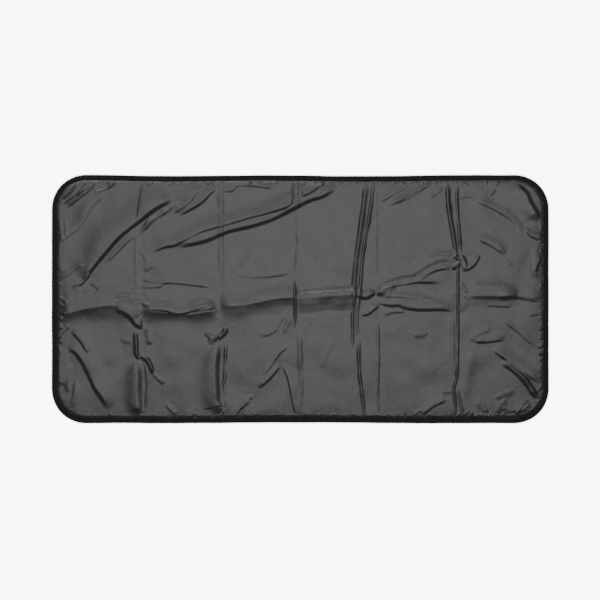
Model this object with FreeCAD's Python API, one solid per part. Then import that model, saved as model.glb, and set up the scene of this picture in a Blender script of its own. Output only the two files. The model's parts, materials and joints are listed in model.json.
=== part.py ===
# Folding solar blanket: twelve stiff cell laminates in sewn fabric pockets, two rows of six,
# with a taped edge. It lies flat with its fabric back upwards and its cells towards the ground.
# The upper row folds over the lower one about the long middle crease, and the six columns then
# fold up like an accordion about the five cross creases.
#
# Frame: X along the length, Y across, Z up. The origin is on the ground under the middle.
# Units are millimetres.
import FreeCAD, Part
import os

from FreeCAD import Vector

# --- Driving dimensions -----------------------------------------------------------------------
COLUMNS = 6
ROWS = ("upper", "lower")

# Solar cells: square wafers with cropped corners
CELL_SIDE = 125.0
CELL_CORNER_CROP = 12.0
CELL_THICKNESS = 0.3
CELL_GAP = 2.0
CELLS_ACROSS = 2
CELLS_DOWN = 3

# Laminate: the stiff sheet that carries the cells of one panel
LAMINATE_BORDER = 5.0
LAMINATE_THICKNESS = 2.0
LAMINATE_CORNER_RADIUS = 12.0

# Fabric left between laminates for the creases, and outside them at the edges
COLUMN_CREASE_GAP = 31.0
ROW_CREASE_GAP = 36.0
SIDE_MARGIN = 56.0
CORNER_RADIUS = 130.0

# Cover: padded pockets joined by a thinner quilted web
POCKET_THICKNESS = 7.0
POCKET_RIM = 6.0
POCKET_SHOULDER = 3.0
FRONT_LIP = 0.8
LIP_OVERLAP = 4.0
WEB_THICKNESS = 3.0

# Edge binding: a tape folded round the web's edge
BINDING_WIDTH = 20.0
TAPE_THICKNESS = 1.0

# Output junction in the left margin of the lower row
JUNCTION_WIDTH = 24.0
JUNCTION_LENGTH = 70.0
JUNCTION_HEIGHT = 6.0
JUNCTION_CENTRE_Y = -225.0
JUNCTION_CORNER_RADIUS = 3.0
JUNCTION_ROOF = 1.0
JUNCTION_END_WALL = 6.0
JUNCTION_POCKET_WALL = 3.0
JUNCTION_MARGIN = 1.5
LEDGE_WIDTH = 4.4
LID_THICKNESS = 1.2
LID_RIM = 1.2
LEAD_PORT_RADIUS = 2.3
LEAD_PORT_LENGTH = 14.0
LEAD_PORT_SPACING = 7.8
THROAT_LENGTH = 3.0
THROAT_FLOOR = 0.8
LEAD_CHANNEL_LENGTH = 45.0
TERMINAL_THICKNESS = 0.5
TERMINAL_SIZE = (4.0, 36.0)
TERMINAL_INSET = 5.0
DIODE_SIZE = (10.0, 6.0, 2.2)
SCREW_RADIUS = 0.85
SCREW_HEAD_RADIUS = 1.8
SCREW_HEAD_HEIGHT = 0.7
SCREW_LENGTH = 3.2

# Clearances
CREASE_CLEARANCE = 0.3
SEAM_CLEARANCE = 0.3
TAPE_CLEARANCE = 0.15
LAMINATE_CLEARANCE = 0.3
LAMINATE_HEADROOM = 0.2
LID_CLEARANCE = 0.15
JUNCTION_CLEARANCE = 0.2
SCREW_CLEARANCE = 0.1
THREAD_CLEARANCE = 0.05

# --- Worked-out places ------------------------------------------------------------------------
CELL_FIELD_X = CELLS_ACROSS * CELL_SIDE + (CELLS_ACROSS - 1) * CELL_GAP
CELL_FIELD_Y = CELLS_DOWN * CELL_SIDE + (CELLS_DOWN - 1) * CELL_GAP
LAMINATE_X = CELL_FIELD_X + 2 * LAMINATE_BORDER
LAMINATE_Y = CELL_FIELD_Y + 2 * LAMINATE_BORDER
PITCH = LAMINATE_X + COLUMN_CREASE_GAP
JUNCTION_SPACE = JUNCTION_WIDTH + 2 * (JUNCTION_POCKET_WALL + JUNCTION_MARGIN)
END_MARGIN = POCKET_RIM + JUNCTION_SPACE + BINDING_WIDTH
HALF_LENGTH = (COLUMNS * LAMINATE_X + (COLUMNS - 1) * COLUMN_CREASE_GAP) / 2 + END_MARGIN
HALF_WIDTH = ROW_CREASE_GAP / 2 + LAMINATE_Y + SIDE_MARGIN

LAMINATE_BOTTOM = FRONT_LIP
LAMINATE_TOP = LAMINATE_BOTTOM + LAMINATE_THICKNESS
WEB_BOTTOM = TAPE_THICKNESS + TAPE_CLEARANCE
WEB_TOP = WEB_BOTTOM + WEB_THICKNESS
BINDING_HEIGHT = WEB_TOP + TAPE_CLEARANCE + TAPE_THICKNESS

JUNCTION_CENTRE_X = -(HALF_LENGTH - BINDING_WIDTH - JUNCTION_SPACE / 2)
JUNCTION_MOUTH_Y = JUNCTION_CENTRE_Y - JUNCTION_LENGTH / 2
JUNCTION_BACK_Y = JUNCTION_CENTRE_Y + JUNCTION_LENGTH / 2
JUNCTION_INNER_Y = JUNCTION_MOUTH_Y + LEAD_PORT_LENGTH + THROAT_LENGTH
LEAD_PORT_Z = JUNCTION_HEIGHT / 2


def crease_x(number):
    """X of the crease between a column and the next, numbered from 1 at the left."""
    return (number - COLUMNS / 2) * PITCH


def panel_centre(row, column):
    """Middle of a panel's laminate, as (x, y)."""
    x = (column - (COLUMNS + 1) / 2) * PITCH
    y = (ROW_CREASE_GAP + LAMINATE_Y) / 2
    return (x, y) if row == "upper" else (x, -y)


# --- Shapes -----------------------------------------------------------------------------------
def rounded_block(centre, size_x, size_y, bottom, top, radius):
    """Upright block with rounded vertical edges."""
    x, y = centre
    corner = Vector(x - size_x / 2, y - size_y / 2, bottom)
    block = Part.makeBox(size_x, size_y, top - bottom, corner)
    upright = [edge for edge in block.Edges if abs(edge.tangentAt(edge.FirstParameter).z) > 0.5]
    return block.makeFillet(radius, upright)


def outline_block(inset, bottom, top):
    """The blanket's rounded outline, drawn in by inset, between two heights."""
    return rounded_block(
        (0, 0),
        2 * (HALF_LENGTH - inset),
        2 * (HALF_WIDTH - inset),
        bottom,
        top,
        CORNER_RADIUS - inset,
    )


def panel_region(row, column):
    """Tall box that cuts one panel out of a whole-blanket solid, short of its creases."""
    past_edge = 10.0
    left = crease_x(column - 1) + CREASE_CLEARANCE
    right = crease_x(column) - CREASE_CLEARANCE
    if column == 1:
        left = -HALF_LENGTH - past_edge
    if column == COLUMNS:
        right = HALF_LENGTH + past_edge
    near = CREASE_CLEARANCE
    far = HALF_WIDTH + past_edge
    front = near if row == "upper" else -far
    height = 4 * POCKET_THICKNESS
    corner = Vector(left, front, -height / 2)
    return Part.makeBox(right - left, far - near, height, corner)


def one_solid(shape):
    """The single solid in a boolean's result, with split faces merged."""
    merged = shape.removeSplitter()
    return merged.Solids[0] if len(merged.Solids) == 1 else merged


# --- Panels -----------------------------------------------------------------------------------
def pocket_pad(row, column):
    """Padded block over one laminate, with sloping shoulders on its upper edges."""
    pad = rounded_block(
        panel_centre(row, column),
        LAMINATE_X + 2 * POCKET_RIM,
        LAMINATE_Y + 2 * POCKET_RIM,
        0,
        POCKET_THICKNESS,
        LAMINATE_CORNER_RADIUS + POCKET_RIM,
    )
    upper = [edge for edge in pad.Edges if edge.BoundBox.ZMin > POCKET_THICKNESS - 0.01]
    return pad.makeChamfer(POCKET_SHOULDER, upper)


def pocket_cavity(row, column):
    """Room for the laminate, with the window through which its cells show."""
    centre = panel_centre(row, column)
    room = rounded_block(
        centre,
        LAMINATE_X + 2 * LAMINATE_CLEARANCE,
        LAMINATE_Y + 2 * LAMINATE_CLEARANCE,
        LAMINATE_BOTTOM,
        LAMINATE_TOP + LAMINATE_HEADROOM,
        LAMINATE_CORNER_RADIUS + LAMINATE_CLEARANCE,
    )
    window = rounded_block(
        centre,
        LAMINATE_X - 2 * LIP_OVERLAP,
        LAMINATE_Y - 2 * LIP_OVERLAP,
        -1.0,
        LAMINATE_BOTTOM,
        LAMINATE_CORNER_RADIUS - LIP_OVERLAP,
    )
    return room.fuse(window)


def cover(row, column):
    """Sewn fabric of one panel: its pocket, its share of the web, and the window."""
    web = outline_block(TAPE_THICKNESS + SEAM_CLEARANCE, WEB_BOTTOM, WEB_TOP)
    body = web.common(panel_region(row, column)).fuse(pocket_pad(row, column))
    if (row, column) == ("lower", 1):
        body = body.cut(junction_opening())
    return one_solid(body.cut(pocket_cavity(row, column)))


def laminate(row, column):
    """Stiff sheet behind the cells of one panel."""
    return rounded_block(
        panel_centre(row, column),
        LAMINATE_X,
        LAMINATE_Y,
        LAMINATE_BOTTOM,
        LAMINATE_TOP,
        LAMINATE_CORNER_RADIUS,
    )


def cell(x, y):
    """One wafer, centred at (x, y) on the laminate's lower face."""
    half = CELL_SIDE / 2
    crop = half - CELL_CORNER_CROP
    turns = [(half, crop), (crop, half), (-crop, half), (-half, crop)]
    turns += [(-a, -b) for a, b in turns]
    corners = [Vector(x + a, y + b, LAMINATE_BOTTOM) for a, b in turns]
    face = Part.Face(Part.makePolygon(corners + corners[:1]))
    return face.extrude(Vector(0, 0, -CELL_THICKNESS))


def cells(row, column):
    """All the wafers of one panel, as separate solids."""
    x0, y0 = panel_centre(row, column)
    step = CELL_SIDE + CELL_GAP
    wafers = []
    for i in range(CELLS_ACROSS):
        for j in range(CELLS_DOWN):
            x = x0 + (i - (CELLS_ACROSS - 1) / 2) * step
            y = y0 + (j - (CELLS_DOWN - 1) / 2) * step
            wafers.append(cell(x, y))
    return Part.makeCompound(wafers)


def binding(row, column):
    """One panel's length of the tape that is folded round the web's edge."""
    tape = outline_block(0, 0, BINDING_HEIGHT)
    slot_bottom = WEB_BOTTOM - TAPE_CLEARANCE
    slot_top = WEB_TOP + TAPE_CLEARANCE
    slot = outline_block(TAPE_THICKNESS, slot_bottom, slot_top)
    middle = outline_block(BINDING_WIDTH, -1.0, BINDING_HEIGHT + 1.0)
    ring = tape.cut(slot).cut(middle)
    return one_solid(ring.common(panel_region(row, column)))


# --- Output junction --------------------------------------------------------------------------
def junction_block(grow, bottom, top, past_mouth=0.0):
    """Block in the junction's outline, grown all round, and longer past its mouth if asked."""
    centre = (JUNCTION_CENTRE_X, JUNCTION_CENTRE_Y - past_mouth / 2)
    return rounded_block(
        centre,
        JUNCTION_WIDTH + 2 * grow,
        JUNCTION_LENGTH + 2 * grow + past_mouth,
        bottom,
        top,
        JUNCTION_CORNER_RADIUS + grow,
    )


def junction_opening():
    """Hole in the cover's end margin that the junction's pocket is sewn into."""
    grow = JUNCTION_POCKET_WALL + SEAM_CLEARANCE
    return junction_block(grow, -1.0, POCKET_THICKNESS + 1.0, LEAD_CHANNEL_LENGTH)


def junction_pocket():
    """Fabric pocket over the junction and the channel of its leads, open on the cell side."""
    outside = junction_block(JUNCTION_POCKET_WALL, 0, POCKET_THICKNESS, LEAD_CHANNEL_LENGTH)
    roof = JUNCTION_HEIGHT + JUNCTION_CLEARANCE
    inside = junction_block(JUNCTION_CLEARANCE, -1.0, roof, LEAD_CHANNEL_LENGTH)
    return one_solid(outside.cut(inside))


def lid_bounds(clearance):
    """Lid's rectangle in the housing's underside, as (x, y, size_x, size_y)."""
    width = JUNCTION_WIDTH - 2 * (LID_RIM + clearance)
    front = JUNCTION_INNER_Y + clearance
    back = JUNCTION_BACK_Y - LID_RIM - clearance
    return JUNCTION_CENTRE_X - width / 2, front, width, back - front


def screw_places():
    """Middles of the four lid screws, on the ledges beside the junction's cavity."""
    off = JUNCTION_WIDTH / 2 - LID_RIM - LEDGE_WIDTH / 2
    front = JUNCTION_INNER_Y + LEDGE_WIDTH / 2
    back = JUNCTION_BACK_Y - LID_RIM - LEDGE_WIDTH / 2
    return [(JUNCTION_CENTRE_X + side * off, y) for side in (-1, 1) for y in (front, back)]


def lead_port_x():
    """X of the two lead ports, left one first."""
    half = LEAD_PORT_SPACING / 2
    return JUNCTION_CENTRE_X - half, JUNCTION_CENTRE_X + half


def junction_housing():
    """Flat box with two lead ports in its mouth end, open below under the lid."""
    body = junction_block(0, 0, JUNCTION_HEIGHT)
    x, y, size_x, size_y = lid_bounds(0)
    rebate = Part.makeBox(size_x, size_y, LID_THICKNESS + 1.0, Vector(x, y, -1.0))
    inner_x = JUNCTION_WIDTH - 2 * (LID_RIM + LEDGE_WIDTH)
    inner_y = JUNCTION_BACK_Y - JUNCTION_END_WALL - y
    ceiling = JUNCTION_HEIGHT - JUNCTION_ROOF
    corner = Vector(JUNCTION_CENTRE_X - inner_x / 2, y, 0)
    cavity = Part.makeBox(inner_x, inner_y, ceiling, corner)
    corner = Vector(corner.x, y - THROAT_LENGTH, THROAT_FLOOR)
    throat = Part.makeBox(inner_x, THROAT_LENGTH, ceiling - THROAT_FLOOR, corner)
    body = body.cut(rebate).cut(cavity).cut(throat)
    for port_x in lead_port_x():
        start = Vector(port_x, JUNCTION_MOUTH_Y - 1.0, LEAD_PORT_Z)
        length = LEAD_PORT_LENGTH + 2.0
        body = body.cut(Part.makeCylinder(LEAD_PORT_RADIUS, length, start, Vector(0, 1, 0)))
    for hole_x, hole_y in screw_places():
        start = Vector(hole_x, hole_y, 0)
        depth = SCREW_HEAD_HEIGHT + SCREW_LENGTH + SCREW_CLEARANCE
        body = body.cut(Part.makeCylinder(SCREW_RADIUS + THREAD_CLEARANCE, depth, start))
    return one_solid(body)


def junction_lid():
    """Plate let into the housing's underside, with a counterbored hole for each screw."""
    x, y, size_x, size_y = lid_bounds(LID_CLEARANCE)
    plate = Part.makeBox(size_x, size_y, LID_THICKNESS, Vector(x, y, 0))
    for hole_x, hole_y in screw_places():
        start = Vector(hole_x, hole_y, 0)
        plate = plate.cut(Part.makeCylinder(SCREW_RADIUS + SCREW_CLEARANCE, LID_THICKNESS, start))
        head_room = SCREW_HEAD_RADIUS + SCREW_CLEARANCE
        plate = plate.cut(Part.makeCylinder(head_room, SCREW_HEAD_HEIGHT, start))
    return one_solid(plate)


def lid_screws():
    """Four flat-headed screws, flush with the lid."""
    screws = []
    for x, y in screw_places():
        head = Part.makeCylinder(SCREW_HEAD_RADIUS, SCREW_HEAD_HEIGHT, Vector(x, y, 0))
        start = Vector(x, y, SCREW_HEAD_HEIGHT)
        shank = Part.makeCylinder(SCREW_RADIUS, SCREW_LENGTH, start)
        screws.append(one_solid(head.fuse(shank)))
    return Part.makeCompound(screws)


def terminal_bounds():
    """Corners of the two terminal plates under the junction's roof."""
    size_x, size_y = TERMINAL_SIZE
    front = JUNCTION_INNER_Y + TERMINAL_INSET
    bottom = JUNCTION_HEIGHT - JUNCTION_ROOF - TERMINAL_THICKNESS
    return [Vector(port_x - size_x / 2, front, bottom) for port_x in lead_port_x()]


def terminal_plates():
    """Two copper plates, one for each lead."""
    size_x, size_y = TERMINAL_SIZE
    plates = [Part.makeBox(size_x, size_y, TERMINAL_THICKNESS, c) for c in terminal_bounds()]
    return Part.makeCompound(plates)


def blocking_diodes():
    """Two flat diodes that bridge the terminal plates."""
    size_x, size_y, height = DIODE_SIZE
    plate = terminal_bounds()[0]
    diodes = []
    for place in (0.3, 0.7):
        y = plate.y + place * TERMINAL_SIZE[1] - size_y / 2
        corner = Vector(JUNCTION_CENTRE_X - size_x / 2, y, plate.z - height)
        diodes.append(Part.makeBox(size_x, size_y, height, corner))
    return Part.makeCompound(diodes)


# --- Output -----------------------------------------------------------------------------------
PANEL_PIECES = {"cover": cover, "laminate": laminate, "cells": cells, "binding": binding}
JUNCTION_PIECES = {
    "junction_pocket": junction_pocket,
    "junction_housing": junction_housing,
    "junction_lid": junction_lid,
    "lid_screws": lid_screws,
    "terminal_plates": terminal_plates,
    "blocking_diodes": blocking_diodes,
}


def main():
    os.makedirs("parts", exist_ok=True)
    for row in ROWS:
        for column in range(1, COLUMNS + 1):
            for name, make in PANEL_PIECES.items():
                make(row, column).exportStep(f"parts/{name}_{row}_{column}.step")
    for name, make in JUNCTION_PIECES.items():
        make().exportStep(f"parts/{name}.step")


main()
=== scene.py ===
import json
import math

import bpy
import numpy as np
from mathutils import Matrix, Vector

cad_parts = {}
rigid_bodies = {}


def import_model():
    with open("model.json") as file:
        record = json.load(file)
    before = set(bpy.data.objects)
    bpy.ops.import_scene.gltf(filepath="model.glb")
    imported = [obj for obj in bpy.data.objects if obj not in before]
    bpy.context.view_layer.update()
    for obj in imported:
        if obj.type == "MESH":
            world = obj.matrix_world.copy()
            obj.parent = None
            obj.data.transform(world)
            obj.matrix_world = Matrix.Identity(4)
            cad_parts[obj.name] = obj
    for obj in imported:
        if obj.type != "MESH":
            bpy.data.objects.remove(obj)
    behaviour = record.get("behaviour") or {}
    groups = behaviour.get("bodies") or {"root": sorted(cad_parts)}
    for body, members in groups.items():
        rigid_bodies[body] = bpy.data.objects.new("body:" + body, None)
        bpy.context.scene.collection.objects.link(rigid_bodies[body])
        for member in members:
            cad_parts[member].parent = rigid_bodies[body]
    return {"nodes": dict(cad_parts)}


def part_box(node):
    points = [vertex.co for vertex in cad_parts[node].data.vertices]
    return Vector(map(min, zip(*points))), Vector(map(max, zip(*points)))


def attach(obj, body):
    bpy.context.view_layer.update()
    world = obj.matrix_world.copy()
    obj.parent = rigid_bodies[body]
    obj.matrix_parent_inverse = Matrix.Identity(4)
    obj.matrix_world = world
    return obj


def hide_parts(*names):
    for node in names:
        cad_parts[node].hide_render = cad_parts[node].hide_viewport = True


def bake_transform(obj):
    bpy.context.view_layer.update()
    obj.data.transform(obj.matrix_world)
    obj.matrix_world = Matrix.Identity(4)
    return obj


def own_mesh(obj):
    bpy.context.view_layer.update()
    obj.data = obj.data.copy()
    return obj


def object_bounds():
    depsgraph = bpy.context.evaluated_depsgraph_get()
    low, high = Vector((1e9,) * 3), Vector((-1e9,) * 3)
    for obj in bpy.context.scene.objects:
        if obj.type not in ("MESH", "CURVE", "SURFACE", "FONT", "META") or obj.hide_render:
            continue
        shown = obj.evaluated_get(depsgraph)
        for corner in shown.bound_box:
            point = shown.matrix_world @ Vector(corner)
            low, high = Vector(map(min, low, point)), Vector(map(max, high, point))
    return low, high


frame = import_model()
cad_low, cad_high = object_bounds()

# --- Sizes, in metres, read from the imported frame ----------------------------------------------
MM = 0.001
HALF_X = (cad_high.x - cad_low.x) / 2
HALF_Y = (cad_high.y - cad_low.y) / 2
CORNER = 130 * MM
COLUMNS = 6
ROWS = ("lower", "upper")
LAMINATE_LOW, LAMINATE_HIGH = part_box("laminate_upper_1")
LAMINATE_X = LAMINATE_HIGH[0] - LAMINATE_LOW[0]
LAMINATE_Y = LAMINATE_HIGH[1] - LAMINATE_LOW[1]
CREASES = [(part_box(f"laminate_upper_{k}")[1][0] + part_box(f"laminate_upper_{k + 1}")[0][0]) / 2
           for k in range(1, COLUMNS)]
PITCH = CREASES[1] - CREASES[0]
BAND_X = (PITCH - LAMINATE_X) / 2
BAND_Y = LAMINATE_LOW[1]
ROW_BAND = (-BAND_Y, BAND_Y)
TAPE = 20 * MM
TAPE_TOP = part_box("binding_lower_3")[1][2]
WEB_TOP = TAPE_TOP - 1.15 * MM
UNDER_Z = 1.15 * MM
FABRIC_EDGE = 10.5 * MM
PAD_TOP = 6.5 * MM
PAD_CROWN = 0.5 * MM
DRAWN_UPPER, WAVE_UPPER = 5.2 * MM, 1.6 * MM
DRAWN_LOWER, WAVE_LOWER = 3.0 * MM, 1.4 * MM
WINDOW_LAP = 4 * MM
WINDOW_CORNER = 8 * MM
WINDOW_SEAM = 7 * MM
WINDOW_POINTS = 240
FRAME_BORDER = 9.5 * MM
POCKET_LOW, POCKET_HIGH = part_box("junction_pocket")
POCKET_SEAM = 1.5 * MM
POCKET_HOLE = [(POCKET_LOW[k] + POCKET_SEAM, POCKET_HIGH[k] - POCKET_SEAM) for k in (0, 1)]
POCKET_CORNER = 6 * MM
POCKET_POINTS = 160
MARGIN_SEAM = POCKET_HIGH[0] + 1.4 * MM
CELL_STEP = 127 * MM
RIBBON_PITCH, RIBBON_WIDTH = 25 * MM, 1.1 * MM
FINGER_PITCH, FINGER_WIDTH = 1.7 * MM, 0.14 * MM
TINNED = (0.42, 0.43, 0.45)
WHITE_GLOW = 8
GRID = 2.5 * MM
SPLINE_STEP = 5
SLACK_GRID = 9 * MM
SLACK_FRAMES = 20
SLACK_CAP = 2.5 * MM
SLACK_SHARE = 0.35
FREE_RISE = 12 * MM
RISE_LEFT = 4 * MM
rng = np.random.default_rng(20)


def crease_span(column):
    """X of the creases, or of the ends, on either side of a column."""
    left = -HALF_X if column == 1 else CREASES[column - 2]
    right = HALF_X if column == COLUMNS else CREASES[column - 1]
    return left, right


def make_object(name, verts, faces, materials, indices=None, uv=None):
    """A smooth-shaded mesh object, with a material number for each face and a UV for each point."""
    mesh = bpy.data.meshes.new(name)
    mesh.from_pydata(verts, [], faces)
    for material in materials:
        mesh.materials.append(material)
    if indices is not None:
        mesh.polygons.foreach_set("material_index", np.asarray(indices, np.int32))
    mesh.polygons.foreach_set("use_smooth", np.ones(len(faces), bool))
    if uv is not None:
        layer = mesh.uv_layers.new(name="tape")
        corner = np.zeros(len(mesh.loops), np.int32)
        mesh.loops.foreach_get("vertex_index", corner)
        layer.data.foreach_set("uv", np.asarray(uv, np.float32)[corner].ravel())
    mesh.update()
    obj = bpy.data.objects.new(name, mesh)
    bpy.context.scene.collection.objects.link(obj)
    return obj


def grid_quads(inside):
    """Faces of a grid, by the numbers of its inside points in order, with -1 for a point outside."""
    index = np.full(inside.shape, -1)
    index[inside] = np.arange(inside.sum())
    return np.stack([index[:-1, :-1], index[:-1, 1:], index[1:, 1:], index[1:, :-1]], -1).reshape(-1, 4)


def panel_centre(row, column):
    low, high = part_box(f"laminate_{row}_{column}")
    return (low[0] + high[0]) / 2, (low[1] + high[1]) / 2


def smooth(t):
    """From 0 to 1 with a level start and end."""
    t = np.clip(t, 0, 1)
    return t * t * (3 - 2 * t)


def edge_distance(x, y):
    """How far inside the rounded outline a point lies."""
    a = np.abs(x) - (HALF_X - CORNER)
    b = np.abs(y) - (HALF_Y - CORNER)
    outside = np.hypot(np.maximum(a, 0), np.maximum(b, 0))
    return CORNER - outside - np.minimum(np.maximum(a, b), 0)


def drawn_in(verts):
    """The cloth's points with its long edges drawn in a little, unevenly, beyond the laminates."""
    v = np.array(verts, float)
    start = LAMINATE_HIGH[1] + 2 * MM
    share = smooth((np.abs(v[:, 1]) - start) / (HALF_Y - TAPE - start))
    upper = DRAWN_UPPER + WAVE_UPPER * np.cos((v[:, 0] + 0.49) / 0.115)
    lower = DRAWN_LOWER + WAVE_LOWER * np.cos(v[:, 0] / 0.15)
    middle = np.clip(1 - (v[:, 0] / HALF_X) ** 4, 0, 1)
    v[:, 1] -= np.where(v[:, 1] > 0, upper, -lower) * middle * share
    return v


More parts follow.
